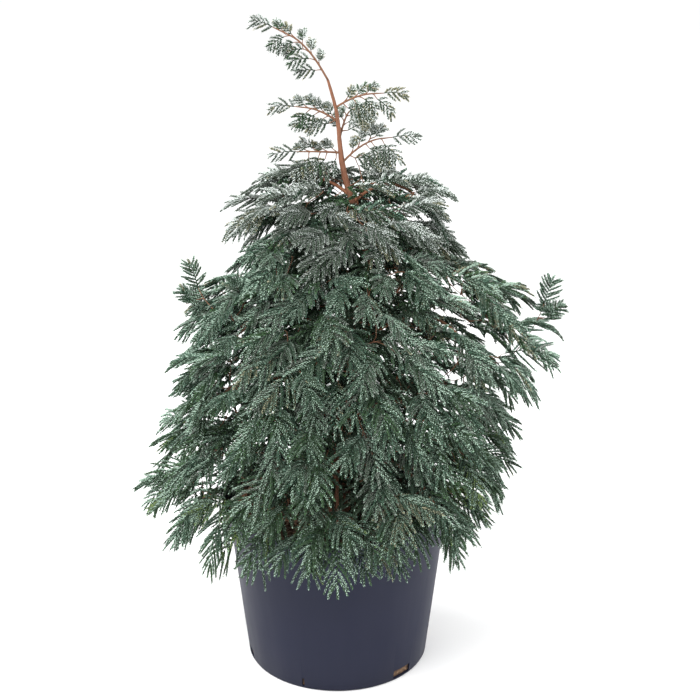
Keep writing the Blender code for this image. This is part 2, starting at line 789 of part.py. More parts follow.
def shells_of(form):
    """The sets of faces that hang together."""
    left = set(form.faces)
    shells = []
    while left:
        first = left.pop()
        shell, edge = [first], [first]
        while edge:
            face = edge.pop()
            sides = [side for side in face.edges if len(side.link_faces) == 2]
            beside = {other for side in sides for other in side.link_faces}
            fresh = beside & left
            left -= fresh
            shell += fresh
            edge += fresh
        shells.append(shell)
    return shells


def keep_outer_shell(obj):
    """Fills the hollows that fusing sealed, and drops loose scraps."""
    form = bmesh.new()
    form.from_mesh(obj.data)
    bmesh.ops.triangulate(form, faces=form.faces)
    shells = sorted(shells_of(form), key=len)
    for shell in shells[:-1]:
        bmesh.ops.delete(form, geom=shell, context="FACES")
    form.to_mesh(obj.data)
    form.free()


def fuse_mass(limb, plumes, collection):
    """The stem, twigs and plumes of a mass as one closed solid."""
    stem = tube(f"foliage_{limb.name}", limb.stem, limb.stem_radii, collection, 0)
    stem = as_mesh(stem, collection)
    joined = new_collection("joined")
    for number, plume in enumerate(plumes):
        solid_from(f"plume_{number}", *plume.solid(), joined)
    union = stem.modifiers.new("Join", "BOOLEAN")
    union.operation = "UNION"
    union.operand_type = "COLLECTION"
    union.collection = joined
    union.solver = "MANIFOLD"
    bpy.context.view_layer.objects.active = stem
    bpy.ops.object.modifier_apply(modifier=union.name)
    for obj in list(joined.objects):
        bpy.data.objects.remove(obj, do_unlink=True)
    bpy.data.collections.remove(joined)
    keep_outer_shell(stem)
    finish_material(stem, limb.kind)


def main():
    clear_scene()
    plant = new_collection("potted_boulevard_sawara_cypress")
    cutters = new_collection("cutters")
    make_pot(plant, cutters)
    make_soil(plant)
    trunk = smooth_line(TRUNK, TRUNK_STEPS)
    finish_material(tube("trunk", *trunk, plant, 4), "trunk")
    limbs = bough_limbs(trunk) + spray_limbs(trunk)
    for limb in limbs:
        if limb.bough:
            bough = tube(f"bough_{limb.name}", limb.bough, limb.bough_radii, plant, 1)
            finish_material(bough, "bough")
    crown = Crown(limbs, trunk)
    chance = random.Random(SEED)
    grow_sprays(crown, chance)
    grow_tips(crown)
    grow_shoots(crown)
    grow_outline(crown, OUTER_PLUMES, OUTER_RUNGS, 1.0, chance)
    grow_outline(crown, INNER_PLUMES, INNER_RUNGS, INNER_DEPTH, chance)
    for limb, plumes in zip(limbs, crown.plumes):
        fuse_mass(limb, plumes, plant)


main()
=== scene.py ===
"""The looks of a potted boulevard sawara cypress: its pot, growing medium, bark, twigs and needles.

Metres, +Z up. The crown's front faces -Y. Boughs, stems and plumes follow the same rule as the
plain solids that they replace, carried on to fingers and needles.
"""

import functools
import itertools
import math
import random
from collections import namedtuple

import bpy
import numpy as np
from mathutils import Matrix, Vector, noise


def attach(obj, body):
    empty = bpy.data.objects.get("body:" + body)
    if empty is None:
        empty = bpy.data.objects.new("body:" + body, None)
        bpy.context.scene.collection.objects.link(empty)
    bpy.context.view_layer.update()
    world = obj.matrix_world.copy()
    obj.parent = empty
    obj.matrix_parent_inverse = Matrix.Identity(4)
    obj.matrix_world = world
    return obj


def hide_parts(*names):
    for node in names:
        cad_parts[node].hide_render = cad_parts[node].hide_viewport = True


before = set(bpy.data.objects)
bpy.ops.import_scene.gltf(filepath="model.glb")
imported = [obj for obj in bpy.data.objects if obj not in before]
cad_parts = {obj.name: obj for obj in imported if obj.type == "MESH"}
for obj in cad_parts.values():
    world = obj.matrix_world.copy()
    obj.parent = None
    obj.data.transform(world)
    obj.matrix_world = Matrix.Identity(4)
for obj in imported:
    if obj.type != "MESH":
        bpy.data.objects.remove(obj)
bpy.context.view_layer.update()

bl_info = {
    "name": "Potted Boulevard Cypress",
    "version": (1, 0, 0),
    "blender": (4, 5, 0),
    "location": "3D View > Sidebar > Cypress",
    "description": "Dresses the frame of a potted boulevard sawara cypress",
    "category": "Object",
}

UP = Vector((0.0, 0.0, 1.0))
SKEW = (0.31, 0.95, 0.05)  # a direction in which no tube starts
SEED = 41

# Pot and growing medium
POT_HEIGHT = 0.215
POT_BASE_RADIUS = 0.1125
POT_FLARE = 0.115
POT_WALL = 0.0018
POT_FLOOR = 0.0025
LIP_BAND = 0.030
LIP_STEP = 0.0040
LIP_SLOPE = 0.004
LIP_BEAD = 0.0006
LIP_BEAD_HEIGHT = 0.006
FOOT_CHAMFER = 0.0025
FOOT_EASE = 0.3  # of the chamfer
SIDE_RINGS = (0.06, 0.12)
LIP_EASE = 0.35  # of the lip's step
SMOOTH_ANGLE = 28.0
HOLE_COUNT = 6
HOLE_TURN = -15.0
HOLE_WIDTH = 0.028
HOLE_FOOT = 0.0032
HOLE_HEIGHT = 0.0115
HOLE_ROUNDING = 0.0012
MOST_ROUNDING = 0.3  # of the hole's width
HOLE_CUTTER = 8 * POT_WALL
WEB_HOLE = 0
WEB_SLIT = 0.003
SOIL_TOP = 0.1925
GAP = 0.0003
CRUMBS = 3  # to each chip
CRUMB_SIZE = 0.35  # of a chip's
CHIPS_FROM = 0.020
CHIP_LENGTHS = (0.5, 1.3)
CHIP_WIDTHS = (0.4, 0.7)
CHIP_HEIGHTS = (0.2, 0.4)
CHIP_ROUGHNESS = 0.16
CHIP_TILT = 0.35
CHIP_LIFT = 0.06

# Trunk, crown outline and boughs, as in the solids
Station = namedtuple("Station", "height side depth radius")
TRUNK = (
    Station(SOIL_TOP + GAP, 0.000, 0.000, 0.0165),
    Station(0.201, 0.000, 0.000, 0.0122),
    Station(0.230, 0.000, 0.000, 0.0102),
    Station(0.350, 0.012, 0.004, 0.0086),
    Station(0.470, 0.027, 0.002, 0.0066),
    Station(0.549, 0.035, -0.002, 0.0050),
    Station(0.593, 0.018, -0.002, 0.0040),
    Station(0.635, 0.007, 0.000, 0.0030),
    Station(0.692, 0.001, 0.002, 0.0021),
    Station(0.732, -0.009, 0.001, 0.0015),
)

# Height and reach of the outline's rungs, each to the right, the back, the left and the front
CROWN = (
    ((0.645, 0.630, 0.645, 0.600), (0.050, 0.045, 0.045, 0.045)),
    ((0.612, 0.595, 0.622, 0.565), (0.155, 0.118, 0.120, 0.105)),
    ((0.562, 0.548, 0.560, 0.515), (0.138, 0.130, 0.146, 0.150)),
    ((0.525, 0.515, 0.512, 0.475), (0.160, 0.140, 0.085, 0.170)),
    ((0.492, 0.485, 0.480, 0.440), (0.235, 0.180, 0.170, 0.195)),
    ((0.425, 0.425, 0.430, 0.390), (0.278, 0.215, 0.206, 0.215)),
    ((0.360, 0.360, 0.360, 0.340), (0.228, 0.226, 0.208, 0.226)),
    ((0.295, 0.295, 0.290, 0.290), (0.230, 0.232, 0.234, 0.236)),
    ((0.245, 0.245, 0.232, 0.238), (0.226, 0.236, 0.258, 0.236)),
    ((0.214, 0.215, 0.180, 0.204), (0.188, 0.192, 0.212, 0.198)),
    ((0.192, 0.195, 0.135, 0.180), (0.160, 0.162, 0.180, 0.166)),
)
Tier = namedtuple("Tier", "name count turn rung climb arch radius")
TIERS = (
    Tier("skirt", 8, 0.0, 7.7, 0.03, 0.075, 0.0036),
    Tier("middle", 7, 0.0, 5.6, 0.09, 0.045, 0.0036),
    Tier("upper", 6, 30.0, 4.2, 0.07, 0.040, 0.0030),
    Tier("shoulder", 4, -6.0, 1.2, 0.012, 0.025, 0.0022),
)
LOWEST_START = 0.224
AZIMUTH_JITTER = 5.0
BOUGH_PART = 0.42
BOUGH_TAPER = 0.62
ARCH_AT = 0.55
BOUGH_SETBACK = 0.064  # from the outline to a stem's end
BOUGH_STEPS = 24
STEM_STEPS = 12
STEM_RADIUS = 0.0021
STEM_TAPER = 0.6
STEM_SIDES = 7
TOP_STEM = 0.65  # radius against a bough's stem
TRUNK_STEPS = 32  # between two stations
BOUGH_RELIEF = 0.8  # against the trunk's
RIDGES_ROUND = 2.6
RIDGES_ALONG = 60
RIDGE_ROUGHNESS = 0.7
RIDGE_FINENESS = 2.2
RIDGE_OCTAVES = 3
RIDGE_GAIN = 1.6

# Sprays near the top, from the highest: right, left, back, left, right
Spray = namedtuple("Spray", "start azimuth reach rise twigs twig plume bronze")
SPRAYS = (
    Spray(0.700, -8.0, 0.046, 0.018, 4, 0.010, 0.026, 0.8),
    Spray(0.684, 176.0, 0.040, 0.016, 4, 0.010, 0.028, 0.1),
    Spray(0.664, 72.0, 0.038, 0.024, 4, 0.010, 0.028, 0.1),
    Spray(0.648, 184.0, 0.042, 0.002, 4, 0.012, 0.030, 0.1),
    Spray(0.636, -4.0, 0.048, 0.030, 5, 0.012, 0.030, 0.1),
)
LEADER = (
    Station(0.732, -0.009, 0.001, 0.0014),
    Station(0.757, -0.024, 0.000, 0.0012),
    Station(0.777, -0.042, 0.000, 0.0010),
    Station(0.788, -0.062, 0.000, 0.0008),
)
LEADER_SPRAY = Spray(None, None, None, None, 6, 0.008, 0.026, 0.1)
SPRAY_STEPS = 8
LEADER_STEPS = 4
SPRAY_ARCH = 0.45  # of its rise
SPRAY_FACE = Vector((0.0, -0.8, 0.6))
END_TWIG = 0.010
FIRST_TWIG = 0.7  # of the distance between two twigs
TWIGS_END = 0.4
UPPER_SIDE = 0.62
TWIG_SIZES = (0.75, 1.0)
TWIG_SPREADS = (0.7, 1.3)
TWIG_LENGTHS = (0.8, 1.2)
TWIG_SAG = 0.15
SHOOT_TIPS = (
    Vector((-0.172, -0.010, 0.525)),
    Vector((-0.118, -0.030, 0.512)),
    Vector((0.256, 0.004, 0.500)),
)
SHOOT_LENGTH = 0.048
SHOOT_TOP = 0.8
SHOOT_SIDE = 0.6
SHOOT_LEAN = 0.25
SHOOT_SPREAD = 0.8
SHOOT_SIDE_DROP = 0.034
SHOOT_SIDE_REACH = 0.016
TIP_PLUME = 0.8  # of a plume's length
TIP_TWIG = 0.012
TIP_SAG = 0.3

# Layers of plumes: how many, from which rung to which, how deep in the crown, and whether they are inner
# plumes, which have fewer fingers, wider needles and painted shade: darker greens and fewer pale needles
Layer = namedtuple("Layer", "count first last depth old")
LAYERS = (
    Layer(400, 0.15, 9.7, 1.00, False),
    Layer(220, 0.6, 9.4, 0.86, True),
    Layer(200, 0.9, 9.2, 0.64, True),
    Layer(130, 1.2, 9.0, 0.40, True),
)
OUTLINE_MARKS = 200
NORMAL_STEP = 0.2
GOLDEN_ANGLE = 137.508
AZIMUTH_STRAY = 6.0
DEPTH_JITTER = 0.026
TOP_SHRINK = 0.74
PLUME_SIZES = (0.78, 1.14)
PLUME_OUT = 0.85
PLUME_LIFT = 0.4
PLUME_STRAY = 0.7
PLUME_SAG = (-0.10, 0.80)
TOP_SAG = 0.25  # at the top, against the full sag
FULL_SAG_RUNG = 4
FACE_OUT = 0.75
FACE_STRAY = 0.5
BRONZE_RUNGS = (3.2, 4.6)
BRONZE_SIDE = 0.75  # least share of an azimuth that points right
BRONZE_THERE = 0.35
TWIG_STEPS = 6
TWIG_SWEEP = 0.8
TWIG_SIDES = 4
TWIG_FORKS = (0.3, 0.55, 0.8)
STEM_FORKS = 16
FORK_OFFSET = 0.6
TURN_COST = 0.25
LONGEST_TWIG = 0.130
SHORTEST_TWIG = 0.008
SHARPEST_FORK = 0.2
TWIG_RADIUS = 0.0009
TWIG_END = 0.0005
POT_MARGIN = 0.006
POT_TESTS = 4
LOWER_KINDS = ("skirt", "middle")
UPPER_KINDS = ("upper", "shoulder", "top")

# Axis, fingers and needles of a plume
AXIS_REACH = 0.86
AXIS_RISE = 0.10
AXIS_NOD = 1.7
AXIS_STEPS = 4
AXIS_RADIUS = 1.6  # of a twig's end
AXIS_TAPER = 0.2
FIRST_FINGER = 0.3
TOP_FINGERS = 8
WIDEST_SPREAD = 62.0
SPREAD_LOSS = 24.0
SPREAD_STRAY = 10
LONGEST_AT = 0.36
SHORTENING = 0.80
SHORTEST = 0.12
FINGER_SIZES = (0.82, 1.12)
FINGER_LIFTS = (-0.12, 0.22)
FINGER_SWEEP = 0.30
FINGER_SAGS = (0.08, 0.40)
END_FINGER = 0.55
END_SAG = 0.25
CORE_PLACES = np.array([0.0, 0.5, 0.96])
CORE_RADII = (0.0010, 0.0014, 0.0009)
CORE_SIDES = 3
FEWEST_NEEDLES = 6
NEEDLE_TURN = 0.4
NEEDLE_LEAN = 46.0
LEAN_LOSS = 12.0
LEAN_STRAY = 8
NEEDLE_SHRINK = 0.35
NEEDLE_SIZES = (0.8, 1.12)
NEEDLE_BELLY = 0.45
MOST_NEEDLES = 95000  # in one piece
OLD_COARSENESS = 1.7  # needles inside the crown are fewer and wider

# Needle colours as linear RGB. The two pale ones, frost and silver, are the needles' silvery tone with
# painted highlight, as bright as needles that catch the light.
COLOURS = {
    "frost": (0.580, 0.630, 0.600),
    "silver": (0.350, 0.480, 0.385),
    "grey_green": (0.230, 0.260, 0.228),
    "blue_green": (0.066, 0.135, 0.092),
    "green": (0.046, 0.110, 0.040),
    "deep_green": (0.014, 0.034, 0.014),
    "bronze": (0.270, 0.260, 0.165),
    "yellow_green": (0.150, 0.220, 0.060),
}
# Shares of colours among a part's fingers, its pale colour, which is the needles' silvery tone with
# painted highlight, and the share of fingers that have it
Tint = namedtuple("Tint", "shares pale pale_share")
TINTS = {
    "top": Tint({"grey_green": 0.60, "bronze": 0.24, "green": 0.16}, "frost", 0.55),
    "shoulder": Tint({"grey_green": 0.78, "blue_green": 0.12, "bronze": 0.10}, "frost", 0.74),
    "upper": Tint({"grey_green": 0.30, "blue_green": 0.50, "green": 0.14, "bronze": 0.06}, "silver", 0.70),
    "middle": Tint(
        {"blue_green": 0.44, "green": 0.42, "grey_green": 0.08, "deep_green": 0.06}, "silver", 0.60
    ),
    "skirt": Tint(
        {"green": 0.52, "blue_green": 0.28, "deep_green": 0.08, "yellow_green": 0.12}, "silver", 0.54
    ),
}
# Inner plumes: painted shade, with darker greens and few pale needles for the dark depth between the
# plumes
INNER_SHADE_TINT = Tint({"deep_green": 0.60, "green": 0.32, "blue_green": 0.08}, "silver", 0.16)
MAIN_COLOUR = 0.6  # share of a plume's fingers in it
# Pale needles are painted highlight: they go mostly on needles that face up, as if these caught the light,
# and seldom on a lower side or an unlit finger
PALE_NEEDLES = (0.75, 1.0)
PALE_FACING = 0.1
UNDER_PALE = 0.2  # painted highlight on a lower side, against an upper side
UNLIT_FINGER = 0.2  # painted highlight on an unlit finger, against a lit one

# Stage
FLOOR_SIZE = 60.0
FLOOR_DROP = 0.0002
Lamp = namedtuple("Lamp", "name place size power")
LAMPS = (
    Lamp("key", Vector((-0.8, -1.3, 2.4)), 1.2, 78.0),
    Lamp("left_strip", Vector((-1.7, 0.4, 0.9)), 1.0, 20.0),
    Lamp("right_strip", Vector((1.7, 0.3, 0.9)), 1.0, 24.0),
)
LAMP_TARGET = Vector((0.0, 0.0, 0.4))
CAMERA_PLACE = Vector((0.0159, -1.88, 1.142))
SENSOR_WIDTH = 36.0
PITCH = math.radians(21.4)


# Settings


def colour_property(name, description, default):
    return bpy.props.FloatVectorProperty(
        name=name, description=description, subtype="COLOR", default=default, min=0.0, max=1.0
    )


def count_property(name, description, default, least):
    return bpy.props.IntProperty(name=name, description=description, default=default, min=least)


def length_property(name, description, default):
    return bpy.props.FloatProperty(
        name=name, description=description, unit="LENGTH", default=default, min=0.0001
    )


def share_property(name, description, default):
    return bpy.props.FloatProperty(
        name=name, description=description, subtype="FACTOR", default=default, min=0.0, max=1.0
    )


class CypressPotSettings(bpy.types.PropertyGroup):
    sides: count_property("Sides", "Sides of the round pot", 144, 24)
    colour: colour_property("Colour", "Colour of the moulded plastic", (0.012, 0.014, 0.030))
    chips: count_property("Chips", "Bark chips on the growing medium", 900, 1)
    chip_size: length_property("Chip size", "Length of a common chip", 0.009)


class CypressWoodSettings(bpy.types.PropertyGroup):
    trunk_sides: count_property("Trunk sides", "Sides of the trunk's bark", 22, 6)
    bough_sides: count_property("Bough sides", "Sides of a bough's bark", 10, 6)
    relief: share_property("Relief", "Depth of the bark's ridges, as a share of the radius", 0.16)


class CypressNeedleSettings(bpy.types.PropertyGroup):
    plume_length: length_property("Plume length", "Length of a plume at the foot", 0.068)
    fingers: count_property("Fingers", "Fingers on a plume", 15, 3)
    finger_share: share_property("Finger length", "Longest finger, as a share of its plume", 0.44)
    needle_length: length_property("Needle length", "Length of a needle", 0.0038)
    needle_width: length_property("Needle width", "Width of a needle", 0.0013)
    spacing: length_property("Spacing", "Length of finger to each needle", 0.00038)


class CypressStageSettings(bpy.types.PropertyGroup):
    floor: colour_property("Floor", "Colour of the floor", (0.97, 0.97, 0.97))
    lens: bpy.props.FloatProperty(name="Lens", description="Focal length in millimetres", default=86.6)
    pitch: bpy.props.FloatProperty(
        name="Pitch", description="How far the camera looks down", subtype="ANGLE", default=PITCH
    )


# Shader maths


def node_maths(operation):
    def apply(value, other):
        made = value.shader.node("Math", {0: value, 1: other}, operation=operation)
        return Value(value.shader, made.outputs[0])

    return apply


class Value:
    """A number in a shader. Arithmetic on it adds Math nodes."""

    def __init__(self, shader, socket):
        self.shader = shader
        self.socket = socket

    __add__ = __radd__ = node_maths("ADD")
    __mul__ = __rmul__ = node_maths("MULTIPLY")
    __pow__ = node_maths("POWER")


class Shader:
    """A material built of nodes."""

    def __init__(self, name):
        self.material = bpy.data.materials.new(name)
        self.material.use_nodes = True
        self.tree = self.material.node_tree
        self.tree.nodes.clear()

    def node(self, kind, sockets, **settings):
        made = self.tree.nodes.new(f"ShaderNode{kind}")
        for key, value in settings.items():
            setattr(made, key, value)
        for key, value in sockets.items():
            if isinstance(value, Value):
                value = value.socket
            if isinstance(value, bpy.types.NodeSocket):
                self.tree.links.new(value, made.inputs[key])
            else:
                made.inputs[key].default_value = value
        return made

    def noise(self, scale, detail, stretch=(1.0, 1.0, 1.0)):
        """Noise in the object's own coordinates, stretched."""
        where = self.node("TexCoord", {}).outputs["Object"]
        place = self.node("Mapping", {"Vector": where, "Scale": stretch})
        sockets = {"Vector": place.outputs[0], "Scale": scale, "Detail": detail}
        return Value(self, self.node("TexNoise", sockets).outputs["Fac"])

    def blend(self, factor, low, high):
        """A colour between two, by a factor. The Mix node's sockets 6 and 7 are its two colours."""
        sockets = {"Factor": factor, 6: low, 7: high}
        return self.node("Mix", sockets, data_type="RGBA").outputs[2]

    def ramp(self, factor, stops):
        made = self.node("ValToRGB", {"Fac": factor})
        elements = made.color_ramp.elements
        while len(elements) < len(stops):
            elements.new(1.0)
        for element, (position, colour) in zip(elements, stops):
            element.position = position
            element.color = colour
        return made.outputs["Color"]

    def finish(self, colour, roughness, height=None, depth=0.0, strength=0.0, **constants):
        """The material, with a bump from a height where one is given."""
        sockets = {"Base Color": colour, "Roughness": roughness, **constants}
        if height is not None:
            bump = {"Height": height, "Distance": depth, "Strength": strength}
            sockets["Normal"] = self.node("Bump", bump).outputs[0]
        surface = self.node("BsdfPrincipled", sockets)
        self.node("OutputMaterial", {"Surface": surface.outputs[0]})
        return self.material


def tone(colour, share=1.0):
    """A colour with alpha, made lighter or darker."""
    return (*(min(part * share, 1.0) for part in colour), 1.0)


def pot_plastic(colour):
    """Satin moulded plastic with fine upright scuffs and a little dust."""
    shader = Shader("pot_plastic")
    scuffs = shader.noise(60.0, 4.0, (1.0, 1.0, 0.06))
    dust = shader.noise(9.0, 5.0)
    shade = shader.blend(dust ** 2.0, tone(colour, 0.92), tone(colour, 1.25))
    grain = shader.noise(900.0, 2.0)
    height = scuffs * 0.6 + grain * 0.4
    roughness = 0.40 + scuffs * 0.20
    return shader.finish(shade, roughness, height, 0.0002, 0.25, **{"Specular IOR Level": 0.14})


def growing_medium():
    shader = Shader("growing_medium")
    clumps = shader.noise(160.0, 6.0)
    stops = (
        (0.30, tone((0.020, 0.012, 0.008))),
        (0.55, tone((0.110, 0.062, 0.034))),
        (0.75, tone((0.30, 0.19, 0.11))),
    )
    return shader.finish(shader.ramp(clumps, stops), 0.95, clumps, 0.002, 0.9)


def chip_bark():
    shader = Shader("chip_bark")
    grain = shader.noise(240.0, 4.0)
    shade = shader.blend(grain, tone((0.035, 0.020, 0.012)), tone((0.190, 0.110, 0.062)))
    return shader.finish(shade, 0.92, grain, 0.0005, 0.6)


def flaking_bark(name, low, high):
    """Stringy bark that flakes lengthwise."""
    shader = Shader(name)
    strings = shader.noise(420.0, 5.0, (1.0, 1.0, 0.12))
    flakes = shader.noise(120.0, 3.0)
    shade = shader.blend(strings * 0.7 + flakes * 0.3, tone(low), tone(high))
    return shader.finish(shade, 0.72 + strings * 0.2, strings, 0.0006, 0.7)


def needle_green(name, colour):
    """A soft needle, with a slight change of tone through the crown."""
    shader = Shader(name)
    drift = shader.noise(14.0, 2.0)
    shade = shader.blend(drift, tone(colour, 0.82), tone(colour, 1.18))
    return shader.finish(shade, 0.62 + drift * 0.1)


def paper_floor(colour):
    shader = Shader("paper_floor")
    mottle = shader.noise(3.0, 2.0)
    shade = shader.blend(mottle, tone(colour, 0.995), tone(colour))
    return shader.finish(shade, 0.9)


# Pieces


def settle(obj, name, slot, material, nodes=()):
    """Names a finished piece, gives it its material, and ties it to the frame. Its slot is not used."""
    obj.name = name
    obj.data.name = name
    obj.data.materials.append(material)
    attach(obj, "root")
    if nodes:
        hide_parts(*nodes)


def nodes_named(*starts):
    return [node for node in sorted(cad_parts) if node.startswith(starts)]


def new_object(name, data):
    obj = bpy.data.objects.new(name, data)
    bpy.context.scene.collection.objects.link(obj)
    return obj


def mesh_piece(points, triangles):
    """A piece, still without its name, from arrays of points and triangles."""
    mesh = bpy.data.meshes.new("piece")
    mesh.vertices.add(len(points))
    mesh.vertices.foreach_set("co", np.asarray(points, np.float32).ravel())
    mesh.loops.add(len(triangles) * 3)
    mesh.loops.foreach_set("vertex_index", np.asarray(triangles, np.int32).ravel())
    mesh.polygons.add(len(triangles))
    mesh.polygons.foreach_set("loop_start", np.arange(0, len(triangles) * 3, 3, dtype=np.int32))
    mesh.update(calc_edges=True)
    mesh.validate()
    return new_object("piece", mesh)


class Batch:
    """Points and triangles of many small shapes that become one piece."""

    def __init__(self):
        self.points = []
        self.triangles = []
        self.count = 0

    def add(self, points, triangles):
        self.points.append(points)
        self.triangles.append(np.asarray(triangles) + self.count)
        self.count += len(points)

    def make(self):
        return mesh_piece(np.concatenate(self.points), np.concatenate(self.triangles))


def unit(vectors):
    return vectors / np.maximum(np.linalg.norm(vectors, axis=-1, keepdims=True), 1e-9)


def tube_arrays(points, radii, sides, relief=0.0):
    """A tapering tube with closed ends along a line of points. Relief roughens it."""
    points = np.asarray(points, float)
    radii = np.asarray(radii, float)
    along = unit(np.gradient(points, axis=0))
    side = np.cross(along[0], SKEW)
    across = []
    for way in along:
        side = unit(side - way * (side @ way))
        across.append(side)
    across = np.array(across)
    over = np.cross(along, across)
    angles = np.arange(sides) / sides * 2 * math.pi
    ring = across[:, None] * np.cos(angles)[:, None] + over[:, None] * np.sin(angles)[:, None]
    size = np.repeat(radii[:, None], sides, axis=1)
    if relief:
        size = size * (1 + relief * bark_relief(points, ring))
    body = points[:, None] + ring * size[..., None]
    body = np.concatenate([body.reshape(-1, 3), points[:1], points[-1:]])
    rows = np.arange(len(points) - 1)[:, None] * sides
    here = np.arange(sides)
    beside = (here + 1) % sides
    a, b, c, d = rows + here, rows + beside, rows + sides + beside, rows + sides + here
    start, end, last = len(body) - 2, len(body) - 1, (len(points) - 1) * sides
    faces = [
        np.stack([a, b, c], -1).reshape(-1, 3),
        np.stack([a, c, d], -1).reshape(-1, 3),
        np.stack([np.full(sides, start), beside, here], -1),
        np.stack([np.full(sides, end), last + here, last + beside], -1),
    ]
    return body, np.concatenate(faces)


def bark_relief(points, ring):
    """Ridges that run along a limb, from -1 to 1, for each point of each ring."""
    length = np.concatenate([[0.0], np.cumsum(np.linalg.norm(np.diff(points, axis=0), axis=1))])
    rough = np.zeros(ring.shape[:2])
    for row in range(len(points)):
        for column in range(ring.shape[1]):
            place = Vector(ring[row, column]) * RIDGES_ROUND + UP * length[row] * RIDGES_ALONG
            rough[row, column] = noise.fractal(place, RIDGE_ROUGHNESS, RIDGE_FINENESS, RIDGE_OCTAVES)
    return np.clip(rough * RIDGE_GAIN, -1, 1)


# The crown's rule


def heading(degrees):
    angle = math.radians(degrees)
    return Vector((math.cos(angle), math.sin(angle), 0.0))


def outward_of(point):
    return Vector((point.x, point.y, 0.0)).normalized()


def catmull_rom(near, part):
    mixed = []
    for a, b, c, d in zip(*near):
        bend = 2 * a - 5 * b + 4 * c - d
        twist = 3 * b - a - 3 * c + d
        mixed.append(b + 0.5 * part * (c - a + part * (bend + part * twist)))
    return Station(*mixed)


def smooth_line(stations, steps):
    """Points and radii on a smooth curve through the stations."""
    last = len(stations) - 1
    line = []
    for i in range(last):
        near = [stations[min(max(i + k, 0), last)] for k in (-1, 0, 1, 2)]
        line += [catmull_rom(near, step / steps) for step in range(steps)]
    line.append(stations[-1])
    return [Vector((s.side, s.depth, s.height)) for s in line], [s.radius for s in line]


def trunk_at(trunk, height):
    """The point of the trunk's axis at a height."""
    for low, high in zip(trunk, trunk[1:]):
        if high.z >= height:
            return low.lerp(high, (height - low.z) / (high.z - low.z))
    return trunk[-1]


def bezier(start, arch, tip, first, last, steps):
    """Points on a part of the arched curve from start to tip."""
    line = []
    for i in range(steps + 1):
        part = first + (last - first) * i / steps
        rest = 1.0 - part
        line.append(start * rest * rest + arch * 2.0 * part * rest + tip * part * part)
    return line


def around(sizes, degrees):
    x, y, _ = heading(degrees)
    return sum(max(share, 0.0) ** 2 * size for share, size in zip((x, y, -x, -y), sizes))


def on_outline(rung, degrees):
    """The point of the crown's outline at a rung, which may lie between two, and an azimuth."""
    low = min(int(rung), len(CROWN) - 2)
    part = rung - low
    pairs = zip(CROWN[low], CROWN[low + 1])
    height, reach = (around(a, degrees) * (1 - part) + around(b, degrees) * part for a, b in pairs)
    return heading(degrees) * reach + UP * height


def outline_normal(rung, azimuth):
    above = on_outline(max(rung - NORMAL_STEP, 0.0), azimuth)
    below = on_outline(min(rung + NORMAL_STEP, len(CROWN) - 1.0), azimuth)
    return heading(azimuth + 90.0).cross(above - below).normalized()


Limb = namedtuple("Limb", "kind bough radius stem")
Plume = namedtuple("Plume", "kind twig radii way face length bronze old")


def bough_limbs(trunk):
    chance = random.Random(SEED)
    limbs = []
    for tier in TIERS:
        for number in range(tier.count):
            azimuth = tier.turn + 360.0 / tier.count * number
            azimuth += chance.uniform(-AZIMUTH_JITTER, AZIMUTH_JITTER)
            tip = on_outline(tier.rung, azimuth) - heading(azimuth) * BOUGH_SETBACK
            height = max(tip.z - tier.climb, LOWEST_START)
            start = trunk_at(trunk, height)
            arch = start.lerp(tip, ARCH_AT)
            arch.z = max(start.z, tip.z) + tier.arch
            bough = bezier(start, arch, tip, 0.0, BOUGH_PART, BOUGH_STEPS)
            stem = bezier(start, arch, tip, BOUGH_PART, 1.0, STEM_STEPS)
            limbs.append(Limb(tier.name, bough, tier.radius, stem))
    return limbs


def spray_limbs(trunk):
    limbs = []
    for spray in SPRAYS:
        start = trunk_at(trunk, spray.start)
        tip = start + (heading(spray.azimuth) * spray.reach + UP * spray.rise)
        arch = start.lerp(tip, 0.5) + UP * spray.rise * SPRAY_ARCH
        limbs.append(Limb("top", None, 0.0, bezier(start, arch, tip, 0.0, 1.0, SPRAY_STEPS)))
    leader, _ = smooth_line(LEADER, LEADER_STEPS)
    limbs.append(Limb("top", None, 0.0, leader))
    return limbs


